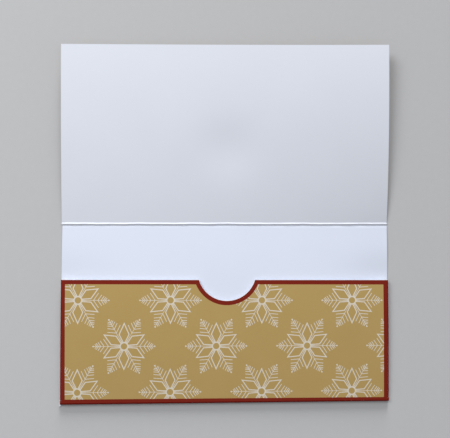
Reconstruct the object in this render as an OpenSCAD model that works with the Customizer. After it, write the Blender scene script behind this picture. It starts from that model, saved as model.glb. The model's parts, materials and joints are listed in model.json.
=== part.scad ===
// Gift card holder, lying open on a table.
// One scored board blank: a cover and a back joined at a crease, a pocket folded up from the
// bottom of the back, and two side flaps glued down behind the pocket's front.
// X runs along the crease, +Y from the crease towards the cover's free edge, +Z up from the table.

/* [Board] */
// Thickness of the board
board_t = 0.4; // [0.3:0.05:0.6]
// Width of the cover and of the back, along the crease
panel_w = 165; // [150:1:190]
// Length of the cover, from the crease to its free edge
cover_len = 90.2; // [85:0.1:110]
// Length of the back, from the crease to the outside of the bottom fold
back_len = 89.7; // [85:0.1:110]

/* [Crease] */
// Angle by which the open cover springs up from the table, in degrees
cover_lift = 3.2; // [0:0.1:20]
// Gap between the two inner faces if the cover were folded flat onto the back
face_gap = 0.1; // [0.06:0.02:0.2]
// Running gap between the crease's bead and the cover that turns about it
bead_play = 0.05; // [0.02:0.01:0.1]

/* [Gift card] */
// Height of the card that the pocket holds, along the pocket's depth
card_h = 54; // [50:0.1:56]
// Thickness of that card
card_t = 0.76; // [0.7:0.02:0.9]
// Spare room over the card's thickness
card_play = 0.14; // [0.1:0.02:0.3]
// Spare depth of the pocket past the card's height
card_drop = 6.35; // [5:0.05:15]

/* [Pocket] */
// Distance from each side edge of the back in to the pocket's folded side
pocket_inset = 0.2; // [0:0.05:1]
// Length of the square corner left at each end of the bottom fold
corner_land = 1.2; // [0.8:0.1:3]
// Gap between that corner and the end of the side fold
corner_slit = 0.3; // [0.1:0.1:1]

/* [Thumb notch] */
// Radius of the thumb notch
notch_r = 14.7; // [10:0.1:20]
// Height of the notch's centre above the pocket's mouth
notch_rise = 4.3; // [0:0.1:6]
// Offset of the notch to the right of the pocket's middle
notch_shift = 0.7; // [-5:0.1:5]

/* [Glue flaps] */
// Width of a glue flap, from the outside of its fold
flap_w = 12; // [8:0.5:18]
// Slope of a flap's cut ends, in degrees
flap_slope = 15; // [5:1:30]
// Thickness of a glue line
glue_t = 0.1; // [0.05:0.01:0.15]
// Width of a glue line, down the middle of its flap
glue_w = 5; // [3:0.5:6]
// Distance from the ends of a glue line to the sloped ends of its flap
glue_margin = 3; // [1:0.5:6]

/* [Hidden] */

// The board is white inside and printed gold and dark red outside
board_white = "#e3e7ee";
print_gold = "#b1965f";
print_red = "#73231b";
glue_clear = "#d9d3bd";

// The bead stands up just enough for both panels to fold face to face
bead_r = board_t + face_gap / 2;

// Heights in the pocket's stack, from the table up
pocket_gap = card_t + card_play;
flap_z = board_t + glue_t;
front_z = board_t + pocket_gap;
pocket_top = front_z + board_t;

// The bottom fold's half ring joins the back to the pocket's front
bottom_r = pocket_top / 2;
bottom_line_y = -(back_len - bottom_r);

// The pocket holds the card with its play, measured from the inside of the bottom fold
pocket_depth = card_h + card_drop + board_t + pocket_gap / 2;
mouth_y = -(back_len - pocket_depth);
pocket_w = panel_w - 2 * pocket_inset;

// A side fold's half ring joins the pocket's front to the flap behind it
side_r = (pocket_top - flap_z) / 2;
side_line_x = pocket_w / 2 - side_r;
side_foot_y = bottom_line_y + corner_land + corner_slit;
flap_inner_x = pocket_w / 2 - flap_w;
flap_inset = (side_line_x - flap_inner_x) * tan(flap_slope);
flap_middle_x = (side_line_x + flap_inner_x) / 2;
glue_foot_y = side_foot_y + flap_inset + glue_margin;
glue_head_y = mouth_y - flap_inset - glue_margin;

// A cut reaches this far past what it cuts
over = 1;

// Sides of every round shape
$fn = 120;

// A round bar along the crease, on the line about which the cover turns
module crease_bar(r, length) {
    translate([0, 0, bead_r])
        rotate([0, 90, 0])
            cylinder(r = r, h = length, center = true);
}

// Half of a folded board strip: a half ring of the board's thickness, opening towards -X
module fold_profile(outer_r) {
    difference() {
        circle(r = outer_r);
        circle(r = outer_r - board_t);
        translate([-outer_r - over, -outer_r - over])
            square([outer_r + over, 2 * (outer_r + over)]);
    }
}

// The thumb notch, seen from above
module notch_disc() {
    translate([notch_shift, mouth_y + notch_rise])
        circle(r = notch_r);
}

// The free edge is raised by turning the whole cover about the bead
module cover_panel() {
    color(board_white)
        translate([0, 0, bead_r])
            rotate([cover_lift, 0, 0])
                translate([0, 0, -bead_r])
                    difference() {
                        translate([-panel_w / 2, 0, 0])
                            cube([panel_w, cover_len, board_t]);
                        crease_bar(bead_r + bead_play, panel_w + 2 * over);
                    }
}

module crease_spine() {
    color(board_white)
        crease_bar(bead_r, panel_w);
}

module back_panel() {
    color(board_white)
        difference() {
            translate([-panel_w / 2, bottom_line_y, 0])
                cube([panel_w, -bottom_line_y, board_t]);
            crease_bar(bead_r, panel_w + 2 * over);
        }
}

module bottom_fold() {
    color(print_red)
        translate([-pocket_w / 2, bottom_line_y, bottom_r])
            rotate([0, 90, 0])
                rotate([0, 0, -90])
                    linear_extrude(pocket_w)
                        fold_profile(bottom_r);
}

// The pocket's printed front, with its square corners at the bottom and the thumb notch
module pocket_panel() {
    color(print_gold)
        translate([0, 0, front_z])
            linear_extrude(board_t)
                difference() {
                    union() {
                        translate([-side_line_x, bottom_line_y])
                            square([2 * side_line_x, mouth_y - bottom_line_y]);
                        translate([-pocket_w / 2, bottom_line_y])
                            square([pocket_w, corner_land]);
                    }
                    notch_disc();
                }
}

module right_side_fold() {
    color(print_red)
        translate([side_line_x, mouth_y, flap_z + side_r])
            rotate([90, 0, 0])
                linear_extrude(mouth_y - side_foot_y)
                    fold_profile(side_r);
}

module left_side_fold() {
    mirror([1, 0, 0])
        right_side_fold();
}

// Both ends of a flap are cut at a slope, so that it folds in freely
module right_glue_flap() {
    color(board_white)
        translate([0, 0, flap_z])
            linear_extrude(board_t)
                polygon([
                    [side_line_x, side_foot_y],
                    [side_line_x, mouth_y],
                    [flap_inner_x, mouth_y - flap_inset],
                    [flap_inner_x, side_foot_y + flap_inset]
                ]);
}

module left_glue_flap() {
    mirror([1, 0, 0])
        right_glue_flap();
}

module right_glue_line() {
    color(glue_clear)
        translate([flap_middle_x - glue_w / 2, glue_foot_y, board_t])
            cube([glue_w, glue_head_y - glue_foot_y, glue_t]);
}

module left_glue_line() {
    mirror([1, 0, 0])
        right_glue_line();
}

cover_panel();
crease_spine();
back_panel();
bottom_fold();
pocket_panel();
left_side_fold();
right_side_fold();
left_glue_flap();
right_glue_flap();
left_glue_line();
right_glue_line();
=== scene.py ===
# %% [markdown]
# # A gift card holder in folded board
# The real object is one die-cut blank of coated board. It is creased across the middle, folded up at
# the bottom into a pocket, and glued at two side flaps. This lesson dresses its construction model,
# which holds every size, with board that bows a little, printed ink, raw cut edges and dried glue.

# %% Load the construction model
import json
import math

import bpy
from mathutils import Matrix, Vector, noise
from mathutils.geometry import delaunay_2d_cdt


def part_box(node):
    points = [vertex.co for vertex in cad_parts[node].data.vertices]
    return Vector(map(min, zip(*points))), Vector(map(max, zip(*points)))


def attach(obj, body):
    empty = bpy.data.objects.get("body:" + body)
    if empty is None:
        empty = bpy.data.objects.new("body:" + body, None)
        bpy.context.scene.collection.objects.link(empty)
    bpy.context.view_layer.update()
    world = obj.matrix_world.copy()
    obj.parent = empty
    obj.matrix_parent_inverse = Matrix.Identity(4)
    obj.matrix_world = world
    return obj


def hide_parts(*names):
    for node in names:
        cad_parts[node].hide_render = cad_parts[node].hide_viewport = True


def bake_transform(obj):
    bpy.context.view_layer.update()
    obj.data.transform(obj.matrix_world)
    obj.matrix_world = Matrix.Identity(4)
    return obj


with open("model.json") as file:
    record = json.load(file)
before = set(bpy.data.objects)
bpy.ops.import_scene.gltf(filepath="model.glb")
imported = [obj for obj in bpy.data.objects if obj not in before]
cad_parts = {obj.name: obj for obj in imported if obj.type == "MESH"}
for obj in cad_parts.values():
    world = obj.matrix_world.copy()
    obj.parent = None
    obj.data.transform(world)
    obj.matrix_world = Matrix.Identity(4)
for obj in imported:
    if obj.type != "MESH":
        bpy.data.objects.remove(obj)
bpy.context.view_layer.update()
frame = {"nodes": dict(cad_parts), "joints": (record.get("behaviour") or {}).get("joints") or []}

print("pieces of the construction model:", ", ".join(sorted(frame["nodes"])))

# %% [markdown]
# ## Sizes
# Everything below is worked out in millimetres, the unit a print shop uses, and turned into metres
# only when a mesh is made. The driving sizes are read from the construction model, so that the
# dressed pieces can't drift away from it.

# %% Read the driving sizes
MM = 0.001


def span_of(node):
    """The lowest and highest corner of a node, in millimetres."""
    low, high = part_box(node)
    return low / MM, high / MM


back_low, back_high = span_of("back_panel")
bottom_low, bottom_high = span_of("bottom_fold")
side_low, side_high = span_of("right_side_fold")
flap_low, flap_high = span_of("right_glue_flap")
glue_low, glue_high = span_of("right_glue_line")
pocket_high = span_of("pocket_panel")[1]
cover_far = span_of("cover_panel")[1]

board_t = back_high.z
half_w = back_high.x
bottom_line = back_low.y
bottom_r = bottom_high.z / 2
back_len = -bottom_low.y
pocket_half = bottom_high.x
pocket_z = pocket_high.z
mouth = pocket_high.y
side_r = (side_high.z - side_low.z) / 2
pivot = Vector(frame["joints"][0]["pos_m"]) / MM
cover_len = cover_far.y / math.cos(math.atan2(cover_far.z - board_t, cover_far.y))
print(f"board {board_t:.2f} mm thick and {2 * half_w:.1f} mm wide")
print(f"back {back_len:.1f} mm long, cover {cover_len:.1f} mm long")
print(f"pocket mouth at y {mouth:.1f} mm, pocket front {pocket_z:.2f} mm above the table")

# %% [markdown]
# ## The camera
# The holder was photographed from about 30 cm, almost straight above. The camera is placed by its
# position and three small turns, in the order a tripod head makes them. A constraint could aim it at
# the table, but three turns can be set one by one until every corner lies where the photo has it. The
# lens follows from the focal length in pixels, because Blender gives a lens in millimetres of a 36 mm
# wide sensor.

# %% Camera
camera_place = Vector((-14.75, -5.98, 300.0))
tilt_down, tilt_side, roll = (math.radians(a) for a in (-1.5795, 2.6965, 0.023))
focal_px, frame_px, sensor_mm = 591.1, 450, 36.0

camera_data = bpy.data.cameras.new("camera")
camera_data.sensor_width = sensor_mm
camera_data.lens = focal_px / frame_px * sensor_mm
camera_data.clip_start = 0.01
camera = bpy.data.objects.new("camera", camera_data)
bpy.context.scene.collection.objects.link(camera)
bpy.context.scene.camera = camera
side_and_down = Matrix.Rotation(tilt_side, 3, "Y") @ Matrix.Rotation(tilt_down, 3, "X")
world_to_camera = Matrix.Rotation(roll, 3, "Z") @ side_and_down
camera.matrix_world = Matrix.Translation(camera_place * MM) @ world_to_camera.transposed().to_4x4()
print(f"lens {camera_data.lens:.1f} mm, {camera_place.z:.0f} mm above the table")

# %% [markdown]
# ## How the board bows
# Folded board is never flat. The cover springs up from the crease and levels out towards its free
# edge, more so at its right-hand corner. The back and its pocket arch up by about a millimetre between
# the crease and the bottom fold. A lattice could bend flat sheets into this. Here each shape is a
# function instead, which takes a point of the flat blank and gives its place in space, so that one
# mesh recipe serves every region of the board and knows its exact normals.

# %% The bowed cover
crease_slope_left, crease_slope_right = math.radians(4.9), math.radians(8.0)
crease_kick, kick_reach = 0.4, 14.0
dent_x, dent_y, dent_reach, dent_depth = 0.8, 37.2, 9.8, 0.52
wave_length, wave_height, calm_reach = 34.0, 0.05, 12.0
cover_seed, back_seed = 3.1, 8.7


def cockle(x, y, seed, *held):
    """The faint waves that damp air leaves in board. They die out near the lines y = held."""
    calm = min(1.0, *(abs(y - line) / calm_reach for line in held))
    return calm * (wave_height * noise.noise(Vector((x / wave_length, y / wave_length, seed))))


def cover_base(x, y):
    """The cover, level with the line it turns about: y runs along the board, from the crease."""
    across = (x + half_w) / (2 * half_w)
    slope = crease_slope_left + (crease_slope_right - crease_slope_left) * across**2
    along = y - slope**2 / 2 * (y - y**2 / cover_len + y**3 / (3 * cover_len**2))
    kick = crease_kick * across**6 * (1 - math.exp(-y / kick_reach))
    rise = slope * (y - y**2 / (2 * cover_len)) + kick
    far = ((x - dent_x) ** 2 + (y - dent_y) ** 2) / (2 * dent_reach**2)
    dent = dent_depth * math.exp(-far) + cockle(x, y, cover_seed, 0)
    return Vector((x, pivot.y + along, pivot.z + rise - dent))


corner_rise = [cover_base(side * half_w, cover_len).z for side in (-1, 1)]
print(f"the cover's free corners stand {corner_rise[0]:.1f} and {corner_rise[1]:.1f} mm up")

# %% The arched back
arch_height = 0.9
groove_y, groove_tilt, groove_reach, groove_depth = -0.97, -0.0015, 0.37, 0.21
side_pulls = ((-half_w, 0.45), (half_w, 0.74))
pull_reach_x, pull_reach_y = 13.0, 7.5


def arch(y):
    """How far the arched back stands off the table."""
    share = min(1.0, max(0.0, -y / back_len))
    return 4 * arch_height * share * (1 - share)


def back_base(x, y):
    """The back's inner face, with a groove by the crease, and pulled down by the pocket's sides."""
    pull = 0.0
    for side_x, depth in side_pulls:
        far = ((x - side_x) / pull_reach_x) ** 2 + ((y - mouth) / pull_reach_y) ** 2
        pull += depth * math.exp(-far / 2)
    off_groove = (y - groove_y - groove_tilt * x) / groove_reach
    groove = groove_depth * math.exp(-(off_groove**2) / 2)
    waves = cockle(x, y, back_seed, 0, bottom_line)
    return Vector((x, y, board_t + arch(y) - pull - groove + waves))


def pocket_base(x, y):
    """The pocket's printed face, parallel to the back."""
    return Vector((x, y, pocket_z + arch(y) + cockle(x, y, back_seed, bottom_line)))


def flap_base(x, y):
    """The upper face of the glue flaps."""
    return Vector((x, y, flap_high.z + arch(y)))


def glue_base(x, y):
    """The upper face of the glue films."""
    return Vector((x, y, glue_high.z + arch(y)))


def normal_at(base, x, y):
    """The upward normal of a bowed face."""
    step = 0.05
    along_x = base(x + step, y) - base(x - step, y)
    along_y = base(x, y + step) - base(x, y - step)
    return along_x.cross(along_y).normalized()


print(f"the back arches {arch(-back_len / 2):.1f} mm up, its groove is {groove_depth} mm deep")

# %% [markdown]
# ## Drawing on a sheet
# The print could be an image wrapped round the board, but an image blurs when it is seen close. Here
# the printed face is cut into triangles along every outline of the design, as a mosaic, and each
# triangle gets the ink it lies under. A constrained triangulation does that cutting. It also takes
# plain rows and columns, which give the sheet enough points to bow smoothly.

# %% Tell which shapes a point lies under
TRAY = 4.0


def inside(point, outline):
    """Whether a point lies inside a closed outline."""
    crossings = 0
    for (ax, ay), (bx, by) in zip(outline, outline[1:] + outline[:1]):
        if (ay > point.y) != (by > point.y):
            crossings += point.x < ax + (bx - ax) * (point.y - ay) / (by - ay)
    return crossings % 2 == 1


def sorted_in_trays(shapes):
    """The shapes' numbers, sorted into square trays, so that few are tried for each point."""
    trays = {}
    for number, shape in enumerate(shapes):
        lows = [math.floor(min(p[i] for p in shape) / TRAY) for i in (0, 1)]
        highs = [math.floor(max(p[i] for p in shape) / TRAY) for i in (0, 1)]
        for column in range(lows[0], highs[0] + 1):
            for row in range(lows[1], highs[1] + 1):
                trays.setdefault((column, row), []).append(number)
    return trays


square = [(0.0, 0.0), (6.0, 0.0), (6.0, 6.0), (0.0, 6.0)]
print(f"a 6 mm square touches {len(sorted_in_trays([square]))} trays of {TRAY:.0f} mm")

# %% Cut a face along the lines drawn on it
CUT_TOLERANCE = 1e-5
overrun = 1.0


def evenly(start, end, steps):
    """Values from start to end in equal steps, with both ends."""
    return [start + (end - start) * i / steps for i in range(steps + 1)]


def guide_lines(outline, axis, pitch):
    """Lines across the outline and a little past it, a pitch apart along an axis: 0 for X, 1 for Y."""
    low = [min(p[i] for p in outline) for i in (0, 1)]
    high = [max(p[i] for p in outline) for i in (0, 1)]
    steps = max(1, round((high[axis] - low[axis]) / pitch)) if pitch else 1
    start, end = low[1 - axis] - overrun, high[1 - axis] + overrun
    lines = [((start, at), (end, at)) for at in evenly(low[axis], high[axis], steps)[1:-1]]
    return lines if axis else [[p[::-1] for p in line] for line in lines]


def mosaic(outline, shapes=(), rows=0.0, columns=0.0):
    """Triangles inside the outline, and for each the numbers of the shapes that it lies under. The
    outline is number 0, and the shapes are numbered from 1 up."""
    drawn = [[tuple(p) for p in shape] for shape in (outline, *shapes)]
    points, edges = [], []
    for shape in drawn:
        first, count = len(points), len(shape)
        points += [Vector(p) for p in shape]
        edges += [(first + i, first + (i + 1) % count) for i in range(count)]
    for line in guide_lines(outline, 1, rows) + guide_lines(outline, 0, columns):
        edges.append((len(points), len(points) + 1))
        points += [Vector(p) for p in line]
    cut_points, _, cut_faces, *_ = delaunay_2d_cdt(points, edges, [], 0, CUT_TOLERANCE, False)
    trays = sorted_in_trays(drawn)
    triangles, under = [], []
    for corners in cut_faces:
        middle = sum((cut_points[i] for i in corners), Vector((0, 0))) / 3
        nearby = trays.get((math.floor(middle.x / TRAY), math.floor(middle.y / TRAY)), [])
        over_it = {number for number in nearby if inside(middle, drawn[number])}
        if 0 in over_it:
            triangles.append(corners)
            under.append(over_it)
    used = sorted({i for corners in triangles for i in corners})
    renumber = {old: new for new, old in enumerate(used)}
    triangles = [[renumber[i] for i in corners] for corners in triangles]
    return [cut_points[i] for i in used], triangles, under


print(f"cut in rows of 2 mm, it gives {len(mosaic(square, rows=2.0)[1])} triangles")

# %% [markdown]
# ## A piece of board from a mosaic
# A sheet has an inner face, an outer face and a cut rim. A Solidify modifier could give it thickness,
# but it would print both faces alike. So both faces are laid out by hand from one mosaic, each with
# its own ink, and a band of small rectangles joins their rims. The faces carry the exact normals of
# the bowed shape, so that even a sliver of a triangle shades smoothly. The rim shows bare fibres,
# except at the crease, where the print runs round from one panel to the other.


def new_mesh(name, vertices, faces, finishes, finish_of):
    """A smooth mesh in metres, with the number of a finish for each face."""
    mesh = bpy.data.meshes.new(name)
    mesh.from_pydata([v * MM for v in vertices], [], faces)
    for finish in finishes:
        mesh.materials.append(finish)
    mesh.polygons.foreach_set("material_index", finish_of)
    mesh.polygons.foreach_set("use_smooth", [True] * len(faces))
    return mesh


def add_piece(mesh, body, stands_for):
    """A piece that stands for nodes of the construction model. It rides on a body, or else, at the
    crease, stays where it is and rides on neither."""
    piece = bpy.data.objects.new(mesh.name, mesh)
    bpy.context.scene.collection.objects.link(piece)
    if body == "crease":
        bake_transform(piece)
    else:
        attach(piece, body)
    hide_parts(*stands_for)
    print(f"{mesh.name}: {len(mesh.polygons)} faces")


# %% Turn a mosaic into board
# A rim edge this close to the crease belongs to the crease
SEAM_REACH = 0.05


def facing_up(points, triangle):
    """The triangle's corners in anticlockwise order."""
    a, b, c = (points[i] for i in triangle)
    turn = (b - a).cross(c - a)
    return triangle if turn > 0 else triangle[::-1]


def rim_of(triangles):
    """The directed edges that belong to one triangle only."""
    edges = {(t[i], t[(i + 1) % 3]) for t in triangles for i in range(3)}
    return [edge for edge in edges if edge[::-1] not in edges]


def board_piece(name, base, cut, depths, finishes, inks, body, stands_for, crease_finish=0):
    """A bowed sheet from a mosaic. For each face, inks gives a triangle's finish by what it is under."""
    points, triangles, under = cut
    triangles = [facing_up(points, triangle) for triangle in triangles]
    ups = [normal_at(base, p.x, p.y) for p in points]
    places = [base(p.x, p.y) for p in points]
    vertices = [place - up * depth for depth in depths for place, up in zip(places, ups)]
    for vertex in vertices:  # the table holds up what would bow below it
        vertex.z = max(0.0, vertex.z)
    faces, normals, finish_of = [], [], []
    for ink, side in zip(inks, (1, -1)):
        first = 0 if side > 0 else len(points)
        for triangle, shapes in zip(triangles, under):
            corners = triangle[::side]
            faces.append([first + i for i in corners])
            normals += [ups[i] * side for i in corners]
            finish_of.append(ink(shapes))
    for a, b in sorted(rim_of(triangles)):
        wall = [a, len(points) + a, len(points) + b, b]
        outward = (vertices[b] - vertices[a]).cross(ups[a]).normalized()
        faces.append(wall)
        normals += [outward] * len(wall)
        at_crease = max(abs(points[a].y), abs(points[b].y)) < SEAM_REACH
        finish_of.append(crease_finish if at_crease else 0)
    mesh = new_mesh(name, vertices, faces, finishes, finish_of)
    mesh.normals_split_custom_set(normals)
    add_piece(mesh, body, stands_for)


print(f"the rim of that square has {len(rim_of(mosaic(square, rows=2.0)[1]))} edges")

# %% [markdown]
# ## Writing materials as sums
# A material is a small calculation at each point of a surface. Blender writes it as nodes joined by
# wires, which is slow to build by hand. The class below wraps one wire, so that a + b adds the node
# that sums two wires, and a finish reads like the sentence that describes it.

# %% A wire, and the nodes it joins
class Wire:
    """One output of a node. Arithmetic on it adds Math nodes."""

    def __init__(self, wiring, socket):
        self.wiring = wiring
        self.socket = socket

    def math(self, operation, first, second):
        """The output of a Math node that works on two wires or numbers."""
        return self.wiring.node("Math", {"operation": operation}, {0: first, 1: second})

    def __add__(self, other):
        return self.math("ADD", self, other)

    def __sub__(self, other):
        return self.math("SUBTRACT", self, other)

    def __rsub__(self, other):
        return self.math("SUBTRACT", other, self)

    def __mul__(self, other):
        return self.math("MULTIPLY", self, other)

    def __gt__(self, other):
        return self.math("GREATER_THAN", self, other)

    __radd__ = __add__
    __rmul__ = __mul__


class Wiring:
    """A tree of nodes, and the one method that adds a node to it."""

    def __init__(self, tree):
        self.tree = tree

    def set(self, node, sockets):
        """Gives each of these sockets its value, or plugs in its wire."""
        for key, value in sockets.items():
            socket = node.inputs[key]
            if isinstance(value, Wire):
                self.tree.links.new(value.socket, socket)
            else:
                socket.default_value = value

    def node(self, kind, settings=None, sockets=None, output=0):
        """A wire from a new node of this kind, whose settings are made before its sockets are set."""
        node = self.tree.nodes.new("ShaderNode" + kind)
        for key, value in (settings or {}).items():
            setattr(node, key, value)
        self.set(node, sockets or {})
        return Wire(self, node.outputs[output])

    def between(self, low, high, share):
        """A value that runs from low to high as share runs from 0 to 1."""
        return share * (high - low) + low


# %% A finish made of wires
class Finish(Wiring):
    """A material with a Principled shader."""

    def __init__(self, name):
        self.material = bpy.data.materials.new(name)
        self.material.use_nodes = True
        super().__init__(self.material.node_tree)
        self.shader = self.tree.nodes["Principled BSDF"]

    def place(self):
        """The point on the piece, in metres, which moves with the piece."""
        return self.node("TexCoord", output="Object")

    def grain(self, size_mm, detail=2.0, stretch=(1, 1, 1)):
        """A cloudy pattern from 0 to 1 whose patches are about size_mm across."""
        scaled = self.node("Mapping", {}, {"Vector": self.place(), "Scale": stretch})
        sockets = {"Vector": scaled, "Scale": 1 / (size_mm * MM), "Detail": detail}
        return self.node("TexNoise", {}, sockets)

    def blend(self, first, second, share):
        """A mix of two colours."""
        return self.node("Mix", {"data_type": "RGBA"}, {0: share, 6: first, 7: second}, output=2)

    def shade(self, colour, brightness):
        """A colour made darker or lighter by a value near 1."""
        return self.node("VectorMath", {"operation": "SCALE"}, {0: colour[:3], "Scale": brightness})

    def bump(self, height, depth_mm):
        """A normal for relief that is depth_mm deep."""
        return self.node("Bump", {}, {"Strength": 1.0, "Distance": depth_mm * MM, "Height": height})


def colour(red, green, blue):
    """An opaque colour from its sRGB bytes, as a paint chart gives it."""
    def linear(byte):
        share = byte / 255
        return share / 12.92 if share <= 0.04045 else ((share + 0.055) / 1.055) ** 2.4
    return (linear(red), linear(green), linear(blue), 1.0)


print(f"a grey of 128 on a paint chart sends back {colour(128, 128, 128)[0]:.2f} of the light")

# %% [markdown]
# ## The finishes
# The inside of the board is clay-coated: a cool white, almost smooth, with a fine grain. The back's copy
# of that white is a little bluer, a painted tint of the sky light that it catches. Where it is cut, the
# bare fibres show in layers, in a pale colour made lighter as a painted highlight. The outside is
# printed in flat inks, which lie a little uneven and glint slightly. The glue has dried clear and
# yellowish. Photographs of board could be wrapped on, but a noise that is sized in millimetres stays
# sharp and keeps its scale on every piece.

# %% White coated face and cut edge
# The cover and the back are one board: the back's white is made a little bluer, as painted sky light
cover_white = colour(224, 229, 240)
back_white_sky_tint = colour(222, 229, 245)
# Bare fibres are pale, and this colour is made lighter still as a painted highlight for rims that catch
# the light
edge_white_with_highlight = colour(244, 243, 240)
fibre_colour = colour(206, 201, 192)
board_gloss = 0.15
layer_share, fray_share = 0.45, 0.4


def make_coated_white(name, white_colour):
    """The coated inner face: cool white with a very fine grain."""
    finish = Finish(name)
    cloud = finish.grain(22, detail=3)
    speck = finish.grain(0.45)
    tone = finish.between(0.985, 1.015, cloud) + finish.between(-0.012, 0.012, speck)
    finish.set(finish.shader, {
        "Base Color": finish.shade(white_colour, tone),
        "Roughness": finish.between(0.5, 0.62, speck),
        "Normal": finish.bump(speck, depth_mm=0.006),
        "Specular IOR Level": board_gloss,
    })
    return finish.material


def make_cut_edge(name):
    """The raw edge: bare fibres in thin layers, in a pale colour made lighter as a painted highlight."""
    finish = Finish(name)
    layers = finish.grain(0.12, detail=3, stretch=(0.12, 0.12, 1))
    fray = finish.grain(0.5, detail=3)
    shade = layers * layer_share + fray * fray_share
    finish.set(finish.shader, {
        "Base Color": finish.blend(edge_white_with_highlight, fibre_colour, shade),
        "Roughness": finish.between(0.8, 0.95, fray),
        "Normal": finish.bump(layers, depth_mm=0.03),
        "Specular IOR Level": board_gloss,
    })
    return finish.material


# The back's white, with its painted bluish tint of sky light, serves the back, the folds' insides and
# the flaps
coated_white = make_coated_white("coated_white", back_white_sky_tint)
cover_coat = make_coated_white("cover_coat", cover_white)
cut_edge = make_cut_edge("cut_edge")
print("white face and cut edge ready")

# %% Inks
gold_colour = colour(174, 146, 89)
gold_light = colour(187, 160, 106)
red_colour = colour(128, 42, 31)
red_dark = colour(118, 34, 23)
fold_red = colour(120, 22, 8)
fold_red_dark = colour(108, 16, 4)
flake_colour = colour(222, 216, 205)
flake_thin = colour(206, 196, 177)
ink_gloss, fold_gloss, speck_share = 0.04, 0.08, 0.45
crack_share, crack_level, crack_depth = 0.7, 0.7, 0.35


def make_ink(name, main, other, cloudiness, roughness):
    """Flat printed ink: one colour that lies unevenly, with a satin skin."""
    finish = Finish(name)
    cloud = finish.grain(14)
    speck = finish.grain(0.3)
    share = cloud * cloudiness + speck * speck_share
    finish.set(finish.shader, {
        "Base Color": finish.blend(main, other, share),
        "Roughness": finish.between(roughness, roughness + 0.12, speck),
        "Normal": finish.bump(speck, depth_mm=0.005),
        "Specular IOR Level": ink_gloss,
    })
    return finish.material


def make_folded_red(name):
    """Red ink over a fold, where it cracks in short lines and shows the board."""
    finish = Finish(name)
    speck = finish.grain(0.3)
    short_cracks = finish.grain(0.22, stretch=(0.35, 0.35, 2))
    patches = finish.grain(3, detail=1)
    cracks = short_cracks * crack_share + patches * (1 - crack_share)
    ink_left = 1 - (cracks > crack_level) * crack_depth
    ink = finish.blend(fold_red, fold_red_dark, speck)
    finish.set(finish.shader, {
        # The cracks show the board's pale edge colour, which carries a painted highlight
        "Base Color": finish.blend(edge_white_with_highlight, ink, ink_left),
        "Roughness": finish.between(0.65, 0.8, speck),
        "Normal": finish.bump(cracks, depth_mm=0.01),
        "Specular IOR Level": fold_gloss,
    })
    return finish.material


gold_ink = make_ink("gold_ink", gold_colour, gold_light, cloudiness=0.35, roughness=0.68)
red_ink = make_ink("red_ink", red_colour, red_dark, cloudiness=0.6, roughness=0.68)
flake_ink = make_ink("flake_ink", flake_colour, flake_thin, cloudiness=0.35, roughness=0.7)
folded_red = make_folded_red("folded_red")
print("inks ready")

# %% Dried glue
glue_colour = colour(217, 205, 170)
glue_light = colour(232, 224, 200)


def make_glue(name):
    """A dried film of glue, clear and yellowish, with a wavy skin."""
    finish = Finish(name)
    ripple = finish.grain(1.5, detail=3)
    finish.set(finish.shader, {
        "Base Color": finish.blend(glue_colour, glue_light, ripple),
        "Roughness": finish.between(0.2, 0.4, ripple),
        "Normal": finish.bump(ripple, depth_mm=0.05),
        "Coat Weight": finish.between(0.2, 0.6, ripple),
    })
    return finish.material


dried_glue = make_glue("dried_glue")
print("glue ready")

# %% [markdown]
# ## The printed design
# The outside has a plain pattern of six-pointed snowflakes on gold, set in staggered rows, inside a
# dark red border. A flake is drawn once, as closed outlines: a ring, six kites, and on each arm a
# spine, five chevrons and a dot. Strokes are drawn as a pen draws them, by offsetting a line to both
# sides, because one width then serves every stroke of a kind.

# %% Strokes and rings
ring_sides, dot_sides = 36, 12


def offset_line(points, reach, closed=False):
    """The line moved sideways by reach, with mitred corners."""
    moved = []
    count = len(points)
    for i, point in enumerate(points):
        before = points[i - 1] if closed or i else None
        after = points[(i + 1) % count] if closed or i < count - 1 else None
        ways = [(b - a).normalized() for a, b in ((before, point), (point, after)) if a and b]
        sides = [Vector((-way.y, way.x)) for way in ways]
        middle = sum(sides, Vector((0, 0))).normalized()
        moved.append(point + middle * (reach / middle.dot(sides[0])))
    return moved


def stroke(points, width):
    """The closed outline of an open pen stroke."""
    line = [Vector(p) for p in points]
    return offset_line(line, width / 2) + offset_line(line, -width / 2)[::-1]


def ring(centre_x, radius, sides):
    """A round outline, drawn as a polygon."""
    angles = [2 * math.pi * i / sides for i in range(sides)]
    return [Vector((centre_x + radius * math.cos(a), radius * math.sin(a))) for a in angles]


tick = stroke([(0, 1), (1, 0), (3, 2)], 0.3)
print(f"a tick drawn with a 0.3 mm pen has an outline of {len(tick)} points")

# %% One arm of a flake and its kite
arm_count = 6
arm_step = 2 * math.pi / arm_count
ring_inner, ring_outer = 1.56, 2.2
kite_in, kite_mid, kite_out, kite_half, kite_line = 1.05, 5.94, 11.35, 2.44, 0.5
# The spine's upper edge: how far out along the arm, and half the spine's width there
spine_edge = ((1.9, 0.3), (3.0, 0.21), (5.0, 0.13), (14.9, 0.12))
# For each chevron: where it leaves the spine, how far out its two tips are, and how far aside
chevrons = (
    (7.66, 10.17, 3.65),
    (9.8, 11.75, 2.75),
    (11.5, 12.87, 2.11),
    (12.5, 13.82, 1.57),
    (13.4, 14.4, 1.08),
)
chevron_line, dot_reach, dot_radius = 0.34, 15.2, 0.42


def flake_arm():
    """The outlines along one arm, which points along +X: its spine, its chevrons and its dot."""
    lower = [Vector((x, -half)) for x, half in spine_edge]
    outlines = [lower + [Vector(p) for p in reversed(spine_edge)]]
    for root, tip, spread in chevrons:
        outlines.append(stroke([(tip, -spread), (root, 0), (tip, spread)], chevron_line))
    outlines.append(ring(dot_reach, dot_radius, dot_sides))
    return outlines


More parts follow.
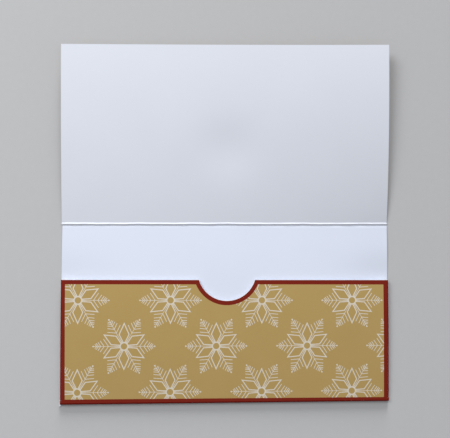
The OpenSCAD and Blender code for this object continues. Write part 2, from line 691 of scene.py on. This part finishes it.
def flake_kite():
    """A kite between two arms: its outer outline, and the inner one that leaves it open."""
    along = Vector((math.cos(arm_step / 2), math.sin(arm_step / 2)))
    side = Vector((-along.y, along.x))
    line = [along * kite_in, along * kite_mid - side * kite_half]
    line += [along * kite_out, along * kite_mid + side * kite_half]
    return offset_line(line, -kite_line / 2, True), offset_line(line, kite_line / 2, True)


def flake(centre, turn):
    """A flake's outlines: its round middle, then for each arm its strokes, a kite and the kite's
    opening, and last the hole in the middle."""
    def placed(outline, spin=0.0):
        turned = [Matrix.Rotation(spin, 2) @ p for p in outline]
        return [centre + Matrix.Rotation(turn, 2) @ p for p in turned]

    kite, opening = flake_kite()
    arms = []
    for i in range(arm_count):
        spin = arm_step * i
        strokes = [placed(outline, spin) for outline in flake_arm()]
        arms.append((strokes, placed(kite, spin), placed(opening, spin)))
    return placed(ring(0, ring_outer, ring_sides)), arms, placed(ring(0, ring_inner, ring_sides))


print(f"a flake reaches {dot_reach + dot_radius:.1f} mm out from its middle")

# %% [markdown]
# ## Which ink lies where
# The design is a list of outlines with a meaning each: the gold field, the inked area, what a flake
# inks, and what it leaves open. Outside the inked area, along the cuts, the die has crushed the board
# and its white fibres show, in the cut edge's colour with its painted highlight. Between that rim and
# the gold field lies the red border. In the field, a triangle is pale under an inked outline. A kite's
# opening clears the kite alone, and the ring's hole clears everything. One rule for the whole sheet is
# easier to check than a colour for each outline.

# %% The design as outlines and a rule
BARE, GOLD, RED, PALE, WHITE = range(5)
printed_finishes = [cut_edge, gold_ink, red_ink, flake_ink, coated_white]
# The numbers of a design's first two outlines in the mosaic
GOLD_FIELD, INKED_AREA = 1, 2


def design(gold_field, inked_area, centres, turn):
    """Outlines for a mosaic, and the function that says which ink a triangle gets."""
    outlines, strokes, openings, holes = [gold_field, inked_area], set(), {}, set()

    def draw(outline):
        """Adds an outline, and gives its number in the mosaic."""
        outlines.append(outline)
        return len(outlines)

    for centre in centres:
        middle, arms, hole = flake(centre, turn)
        strokes.add(draw(middle))
        for arm_strokes, kite, opening in arms:
            strokes.update(draw(outline) for outline in arm_strokes)
            kite_number = draw(kite)
            openings[kite_number] = draw(opening)
        holes.add(draw(hole))

    def ink(under):
        """The number of the finish for a triangle that lies under these outlines."""
        if GOLD_FIELD not in under:
            return RED if INKED_AREA in under else BARE
        if under & holes:
            return GOLD
        on_kite = any(number in openings and openings[number] not in under for number in under)
        return PALE if on_kite or under & strokes else GOLD

    return outlines, ink


def plain_white(under):
    """The unprinted inside is white, whatever is drawn on the other face."""
    return WHITE


one_flake = design(square, square, [Vector((0, 0))], 0.0)[0]
print(f"a design with one flake has {len(one_flake)} outlines")

# %% [markdown]
# ## The pocket's front
# The pocket was folded up a hair off square, which shows in the photo: its mouth and its bottom edge
# slope a little, each at its own rate, and the print slopes with the mouth. A thumb notch is cut into
# the mouth, and the red border follows the notch. A boolean could cut the notch out of a plain sheet,
# but as an arc of the outline it needs no repair, and the same arc, made larger, bounds the gold.

# %% Lines that the pocket follows
mouth_tilt, fold_tilt, print_tilt = 0.0057, 0.0031, math.radians(0.36)
mouth_lift, fold_slip, left_flare = 0.16, 0.4, 0.0045
pocket_left, pocket_right = -pocket_half - 0.08, pocket_half + 0.22


def mouth_at(x):
    """The height of the pocket's mouth at x."""
    return mouth + mouth_lift - mouth_tilt * x


def fold_at(x):
    """The line of the bottom fold's centre at x."""
    return bottom_line - fold_slip - fold_tilt * x


def side_at(side, y):
    """The outside of the pocket's left (-1) or right (1) fold at y. The left one leans out."""
    return pocket_right if side > 0 else pocket_left - left_flare * (mouth - y)


def from_print(across, down):
    """A point of the print, measured from the mouth's middle, as a point of the pocket's face."""
    return Vector((0, mouth)) + Matrix.Rotation(-print_tilt, 2) @ Vector((across, -down))


bottom_y = fold_at(0)
far_left, far_right = (Vector((side_at(i, bottom_y), fold_at(side_at(i, bottom_y)))) for i in (-1, 1))
print(f"the bottom fold runs from y {far_left.y:.2f} at the left to {far_right.y:.2f} mm at the right")

# %% Outlines of the pocket
border, side_border_left, side_border_right = 2.15, 2.05, 2.4
gold_foot, bare_rim = 59.15, 0.12
notch_x, notch_y, notch_r, notch_border = 0.27, mouth + 4.3, 14.62, 2.25
corner_land, corner_slit, notch_steps = 1.2, 0.05, 64


def notched_edge(left_x, right_x, radius, edge):
    """A panel's upper edge from right to left, at height edge(x), with the thumb notch cut into it."""
    reach = math.sqrt(radius**2 - (notch_y - edge(notch_x)) ** 2)
    start = math.atan2(edge(notch_x - reach) - notch_y, -reach)
    end = math.atan2(edge(notch_x + reach) - notch_y, reach)
    start += 2 * math.pi if start < 0 else 0
    end += 2 * math.pi if end < 0 else 0
    arc = evenly(start, end, notch_steps)
    curve = [Vector((notch_x + radius * math.cos(a), notch_y + radius * math.sin(a))) for a in arc]
    return [Vector((right_x, edge(right_x))), *reversed(curve), Vector((left_x, edge(left_x)))]


def print_edge(x):
    """The gold field's upper edge, a border's width below the mouth."""
    return mouth - border - math.tan(print_tilt) * x


fold_width = Vector((side_r, 0))
land = Vector((0, corner_land))
pocket_outline = [
    far_right,
    far_right + land,
    far_right - fold_width + land,
    *notched_edge(side_at(-1, mouth) + side_r, side_at(1, mouth) - side_r, notch_r, mouth_at),
    far_left + fold_width + land,
    far_left + land,
    far_left,
]
ink_left_x, ink_right_x = far_left.x - overrun, far_right.x + overrun
inked_area = [
    Vector((ink_right_x, far_right.y - overrun)),
    *notched_edge(ink_left_x, ink_right_x, notch_r + bare_rim, lambda x: mouth_at(x) - bare_rim),
    Vector((ink_left_x, far_left.y - overrun)),
]
gold_left, gold_right = -pocket_half + side_border_left, pocket_half - side_border_right
gold_field = [
    Vector((gold_right, from_print(gold_right, gold_foot).y)),
    *notched_edge(gold_left, gold_right, notch_r + notch_border, print_edge),
    Vector((gold_left, from_print(gold_left, gold_foot).y)),
]
print(f"pocket outline {len(pocket_outline)} points, gold field {gold_right - gold_left:.1f} mm wide")

# %% [markdown]
# The flakes of every second row stand half a step aside. A flake that would run past the border is
# cut off by it, as in the print.

# %% Pocket front
flake_pitch_x, flake_pitch_y, flake_x, flake_drop = 45.85, 22.83, -5.04, 10.11
pocket_rows, most_aside = 3, 3


def flake_centres(rows, first_x, first_drop, place, half):
    """The middles of the flakes that reach into a field of this half width, row by row."""
    centres = []
    for row in range(rows):
        aside = 0.5 if row % 2 == 0 else 0.0
        for column in range(-most_aside, most_aside + 1):
            across = first_x + flake_pitch_x * (column + aside)
            centre = place(across, first_drop + flake_pitch_y * row)
            if abs(centre.x) < half + dot_reach + dot_radius:
                centres.append(centre)
    return centres


pocket_centres = flake_centres(pocket_rows, flake_x, flake_drop, from_print, gold_right)
pocket_shapes, pocket_ink = design(gold_field, inked_area, pocket_centres, -print_tilt)
pocket_cut = mosaic(pocket_outline, pocket_shapes, rows=2.5)
board_piece(
    "pocket_front", pocket_base, pocket_cut, (0, board_t), printed_finishes,
    (pocket_ink, plain_white), "back", ["pocket_panel"],
)

# %% [markdown]
# ## The back
# The back is a plain rectangle, white inside. Its lower corners end in tiny points of bare board,
# where the die left a nick beside the bottom fold. Its outside lies on the table in the photo. It is
# the same printed side of the sheet as the pocket's front, so it gets the same pattern and border.
# The groove beside the crease is narrower than the rows of the mosaic, so a few strips are drawn
# there, which bring no ink but give the groove its points.

# %% Outline of the back
seam_gap, left_trim, past_pocket = 0.03, 0.38, 0.05
# Points across and up from the pocket's lower corners, anticlockwise round the back
nick_left = ((0, 2.5), (-0.45, -0.5), (-0.65, -1.9), (0.05, -1.7), (0.75, 0.1))
nick_right = ((-0.75, 0.1), (-0.225, -1.1), (0, -1.2))


def with_nicks():
    """The back's outline, with a small point at each lower corner."""
    left, right = far_left.x - past_pocket, far_right.x + past_pocket
    return [
        Vector((-half_w + left_trim, -seam_gap)),
        Vector((side_at(-1, mouth) - past_pocket, mouth)),
        *(Vector((left + across, fold_at(left) + up)) for across, up in nick_left),
        *(Vector((right + across, fold_at(right) + up)) for across, up in nick_right),
        Vector((half_w, -seam_gap)),
    ]


back_outline = with_nicks()
print(f"the left nick ends at y {min(p.y for p in back_outline):.1f} mm")

# %% Back sheet
panel_rows, panel_drop, outer_gold_half = 4, 10.6, half_w - border
back_rim, ink_past_fold = 0.5, 1.2
groove_rows, groove_strip = (-0.1, -0.5, -0.9, -1.3, -1.8), 0.22


def upright(half, foot, head, slope=0.0):
    """A rectangle in the middle of a panel, whose upper edge may slope."""
    rise = slope * half
    return [(-half, foot), (half, foot), (half, head + rise), (-half, head - rise)]


def panel_centres(way):
    """The flakes of a whole panel, which runs from the crease towards +Y (1) or -Y (-1)."""
    return flake_centres(
        panel_rows, 0.0, panel_drop, lambda across, down: Vector((across, way * down)), outer_gold_half
    )


back_gold = upright(outer_gold_half, bottom_line + border, -border)
back_inked = upright(half_w - back_rim, bottom_line - ink_past_fold, overrun)
back_shapes, back_ink = design(back_gold, back_inked, panel_centres(-1), 0.0)
groove_strips = [upright(half_w + overrun, y - groove_strip, y) for y in groove_rows]
back_cut = mosaic(back_outline, back_shapes + groove_strips, rows=3.0, columns=6.0)
board_piece(
    "back_sheet", back_base, back_cut, (0, board_t), printed_finishes,
    (plain_white, back_ink), "back", ["back_panel"], RED,
)

# %% [markdown]
# ## The cover
# Inside, the cover is plain white, with one faint dent near its middle. Its outside is what a buyer
# sees first, so it carries the same pattern inside the same border. It lies face down in the photo,
# so its layout is a fair guess. It is made as the back is, but its inner face lies a hair below the
# line that it turns about, so that the two inner faces don't cut into each other at the crease.

# %% Cover sheet
cover_skew = 0.0063


def cover_edge(x):
    """The cover's free edge, a hair off square."""
    return cover_len + cover_skew * x


cover_outline = [
    Vector((-half_w, 0)),
    Vector((half_w, 0)),
    Vector((half_w, cover_edge(half_w))),
    Vector((-half_w, cover_edge(-half_w))),
]
cover_gold = upright(outer_gold_half, border, cover_len - border, cover_skew)
cover_inked = upright(half_w - bare_rim, -overrun, cover_len - bare_rim, cover_skew)
cover_shapes, cover_ink = design(cover_gold, cover_inked, panel_centres(1), 0.0)
cover_cut = mosaic(cover_outline, cover_shapes, rows=3.0, columns=3.0)
hinge_drop = pivot.z - board_t
board_piece(
    "cover_sheet", cover_base, cover_cut, (hinge_drop, hinge_drop + board_t),
    [*printed_finishes[:WHITE], cover_coat], (plain_white, cover_ink),
    "cover", ["cover_panel"], RED,
)

# %% [markdown]
# ## The crease
# A creasing rule presses a groove into the board from outside, and the board swells into a narrow bead
# inside. The bead wanders slightly and is lit on the side that faces the light, which is why a crease
# reads as a bright line with a dark one beside it. It is swept along the crease, ring by ring, because
# a curve with a bevel couldn't swell and wander by itself. Its underside is printed, as the outside of
# the board is. In the real holder the bead is the board that bends when the cover turns. Here it rides
# on neither panel and stays where it is, and the print comes round the fold.

# %% Bars swept along a line
# The numbers of a bar's three finishes
ENDS, SHOWN, HIDDEN = range(3)
sharp_from = math.radians(50)


def swept(name, rings, finishes, ring_finish, body, stands_for):
    """A mesh from rings of points, joined one to the next, with its ends closed."""
    vertices = [p for ring_points in rings for p in ring_points]
    count = len(rings[0])
    faces, finish_of = [], []
    for i in range(len(rings) - 1):
        for j in range(count):
            k = (j + 1) % count
            faces.append([i * count + j, i * count + k, (i + 1) * count + k, (i + 1) * count + j])
            finish_of.append(ring_finish(j))
    last = (len(rings) - 1) * count
    faces += [list(reversed(range(count))), [last + j for j in range(count)]]
    finish_of += [ENDS, ENDS]
    mesh = new_mesh(name, vertices, faces, finishes, finish_of)
    mesh.set_sharp_from_angle(angle=sharp_from)
    add_piece(mesh, body, stands_for)


print(f"edges sharper than {math.degrees(sharp_from):.0f} degrees stay crisp")

# %% Crease bead
lit_reach, far_reach, bead_rise, bead_shift, bead_tilt = 0.92, 0.52, 0.29, -0.21, 0.0009
bead_sink, bead_foot = 0.01, 0.06
ridge_steps, foot_steps, bead_steps = 16, 10, 220


def waver(x, length, height, seed):
    """A smooth waver along the crease."""
    return height * noise.noise(Vector((x / length, seed, 0)))


def bead_ring(x):
    """The bead's outline at x: a low round ridge over a flat foot, which wanders and swells slightly."""
    wander = bead_shift - bead_tilt * x
    wander += waver(x, length=9, height=0.18, seed=1.7) + waver(x, length=2.5, height=0.08, seed=5.2)
    swell = 1 + waver(x, length=6, height=0.35, seed=9.1)
    ridge = []
    for share in evenly(1, -1, ridge_steps):
        across = share * (lit_reach if share > 0 else far_reach)
        up = bead_rise * swell * (0.5 + 0.5 * math.cos(math.pi * share))
        ridge.append(Vector((x, wander + across, board_t - bead_sink + up)))
    feet = evenly(-far_reach, far_reach, foot_steps)
    return ridge + [Vector((x, wander + across, bead_foot)) for across in feet]


def bead_finish(j):
    """White on the ridge, and printed red below."""
    return SHOWN if j < ridge_steps else HIDDEN


swept(
    "crease_bead", [bead_ring(x) for x in evenly(-half_w, half_w, bead_steps)],
    [cut_edge, cover_coat, red_ink], bead_finish, "crease", ["crease_spine"],
)

# %% [markdown]
# ## The folds
# A fold is the same board bent round a half circle. Its outside carries the red border, stretched until
# the ink just starts to crack, and its inside is white. The bottom fold joins the back to the pocket's
# front, and the side folds join that front to the glue flaps behind it. They are swept as the bead is,
# so that each ring can follow the arch of the back and the slope of the fold.

# %% Bent strips
bend_steps, strip_steps = 14, 60
bend_finishes = [cut_edge, folded_red, coated_white]


def bend_ring(outer, inner):
    """Half a ring of board: across and up for each point, the outside first."""
    angles = evenly(-math.pi / 2, math.pi / 2, bend_steps)
    outside = [(outer * math.cos(a), outer * math.sin(a)) for a in angles]
    return outside + [(inner * math.cos(a), inner * math.sin(a)) for a in reversed(angles)]


def bend_finish(j):
    """Red outside, white inside, and bare board at the two ends of the half ring."""
    if j < bend_steps:
        return SHOWN
    return HIDDEN if bend_steps < j < 2 * bend_steps + 1 else ENDS


print(f"the bottom fold bends round a radius of {bottom_r:.2f} mm, a side fold round {side_r:.2f} mm")


# %% Bottom fold
def bottom_ring(x):
    """The bottom fold at x, bulging towards -Y."""
    return [
        Vector((x, fold_at(x) - across, bottom_r + up))
        for across, up in bend_ring(bottom_r, bottom_r - board_t)
    ]


swept(
    "bottom_bend", [bottom_ring(x) for x in evenly(far_left.x, far_right.x, strip_steps)],
    bend_finishes, bend_finish, "back", ["bottom_fold"],
)


# %% Side folds
def side_ring(side, y):
    """A side fold at y, bulging away from the middle."""
    centre = side_at(side, y) - side * side_r
    middle = (side_low.z + side_high.z) / 2 + arch(y)
    return [
        Vector((centre + side * across, y, middle + up))
        for across, up in bend_ring(side_r, side_r - board_t)
    ]


def side_fold(name, node, side):
    """One of the pocket's folded sides. Its rings run so that every face looks outwards."""
    head = mouth_at(side * pocket_half)
    foot = fold_at(side * pocket_half) + corner_land + corner_slit
    ys = evenly(head, foot, strip_steps)
    rings = [side_ring(side, y) for y in (ys if side < 0 else reversed(ys))]
    swept(name, rings, bend_finishes, bend_finish, "back", [node])


side_fold("left_side_bend", "left_side_fold", -1)
side_fold("right_side_bend", "right_side_fold", 1)

# %% [markdown]
# ## Flaps and glue
# The glue flaps lie inside the pocket and show only from its mouth. Their ends are cut at a slope, so
# that they fold in freely. A film of glue, squeezed out thin and uneven, holds each one to the back.
# Both are made like any other board piece, from an outline, so that they arch with the back.

# %% Glue flaps
flap_slope, red_bleed = math.radians(15), 0.7


def glue_flap(name, node, side):
    """A flap behind the pocket's front: white above, and below a bleed of red beside the fold."""
    fold, inner = side_at(side, mouth) - side * side_r, side * flap_low.x
    slope = abs(fold - inner) * math.tan(flap_slope)
    head, foot = mouth_at(fold), fold_at(fold) + corner_land + corner_slit
    outline = [(fold, foot), (fold, head), (inner, head - slope), (inner, foot + slope)]
    bleed_x, low, high = fold - side * red_bleed, foot - overrun, head + overrun
    bleed = [(bleed_x, low), (fold, low), (fold, high), (bleed_x, high)]
    board_piece(
        name, flap_base, mosaic(outline, [bleed], rows=3.0), (0, board_t), printed_finishes,
        (plain_white, lambda under: RED if 1 in under else WHITE), "back", [node],
    )


glue_flap("left_flap", "left_glue_flap", -1)
glue_flap("right_flap", "right_glue_flap", 1)

# %% Glue films
film_steps, film_wave = 60, 5.0
film_taper, film_tip, film_fullness, film_unevenness = 2.0, 0.4, 0.94, 0.1
glue_x, glue_half = (glue_low.x + glue_high.x) / 2, (glue_high.x - glue_low.x) / 2


def film_edge(side, way, y):
    """A point on the inner (-1) or outer (1) edge of a film, which wavers and narrows at its ends."""
    wave = noise.noise(Vector((way * 3.3, y / film_wave, side * 2.0)))
    pinch = min(1.0, *(end / film_taper + film_tip for end in (y - glue_low.y, glue_high.y - y)))
    reach = glue_half * pinch * (film_fullness + film_unevenness * wave)
    return Vector((side * (glue_x + way * reach), y))


def only_finish(under):
    """The glue has one finish all over."""
    return 0


def glue_film(name, node, side):
    """A squeezed strip of glue with a wavy outline."""
    ys = evenly(glue_low.y, glue_high.y, film_steps)
    outline = [film_edge(side, 1, y) for y in ys] + [film_edge(side, -1, y) for y in reversed(ys)]
    board_piece(
        name, glue_base, mosaic(outline, rows=4.0), (0, glue_high.z - glue_low.z), [dried_glue],
        (only_finish, only_finish), "back", [node],
    )


glue_film("left_glue_film", "left_glue_line", -1)
glue_film("right_glue_film", "right_glue_line", 1)

# %% [markdown]
# ## Floor and light
# The holder lies on a plain pale floor, a shade darker than the board, so that its edges show. The
# main light is low and soft, from beyond the free edge, as from a window: that is what makes the
# sprung-up cover fall off in brightness towards the crease. A nearer soft box makes the upper left
# brighter than the lower right, and the sky gives the rest. Together they add up to a level at which
# a colour renders about as it is written. The camera and shiny skins see a paler sky than the one
# that lights the scene, as a photographer hangs a pale backdrop behind an object.

# %% Floor
floor_half, floor_drop = 3.0, 0.0001
floor_grey = colour(190, 191, 193)
floor_paint = Finish("floor_paint")
floor_tone = floor_paint.between(0.98, 1.02, floor_paint.grain(3, detail=3))
floor_paint.set(floor_paint.shader, {
    "Base Color": floor_paint.shade(floor_grey, floor_tone),
    "Roughness": 0.9,
    "Specular IOR Level": 0.1,
})
floor_corners = [(floor_half * x, floor_half * y, 0) for x, y in ((-1, -1), (1, -1), (1, 1), (-1, 1))]
floor_mesh = bpy.data.meshes.new("floor")
floor_mesh.from_pydata(floor_corners, [], [(0, 1, 2, 3)])
floor_mesh.materials.append(floor_paint.material)
floor = bpy.data.objects.new("floor", floor_mesh)
bpy.context.scene.collection.objects.link(floor)
floor.location.z = -floor_drop
print(f"floor {2 * floor_half:.0f} m wide")


# %% Lamps
def place_lamp(name, kind, place):
    """A lamp of this kind that points from its place to the table's middle."""
    data = bpy.data.lights.new(name, kind)
    lamp = bpy.data.objects.new(name, data)
    lamp.location = place
    lamp.rotation_euler = (-place).to_track_quat("-Z", "Y").to_euler()
    bpy.context.scene.collection.objects.link(lamp)
    return data


window_place, window_level, window_width = Vector((0.3, 4.9, 1.0)), 0.275, 22
window = place_lamp("window", "SUN", window_place)
window.energy = window_level * math.pi * window_place.length / window_place.z
window.angle = math.radians(window_width)

fill_place, fill_level, fill_size = Vector((-0.65, 0.6, 0.75)), 0.36, 0.6
fill = place_lamp("soft_box", "AREA", fill_place)
fill.size = fill_size
fill.energy = fill_level * math.pi**2 * fill_place.length**3 / fill_place.z
print(f"window {window.energy:.1f} W/m2, soft box {fill.energy:.1f} W")

# %% Sky and picture settings
sky_level, backdrop_level = 0.322, 0.56
world = bpy.data.worlds.new("sky")
bpy.context.scene.world = world
world.use_nodes = True
sky = Wiring(world.node_tree)
seen, mirrored, seen_through = (
    sky.node("LightPath", output=f"Is {ray} Ray") for ray in ("Camera", "Glossy", "Transmission")
)
share_seen = seen.math("MINIMUM", seen + mirrored + seen_through, 1.0)
sky.set(sky.tree.nodes["Background"], {
    "Color": (1, 1, 1, 1),
    "Strength": sky.between(sky_level, backdrop_level, share_seen),
})
bpy.context.scene.view_settings.view_transform = "Standard"
print(f"sky gives {sky_level:.2f} of full light, and shows as {backdrop_level:.2f}")

# %% [markdown]
# ## Finish

# %% Finish
print("scene ready")
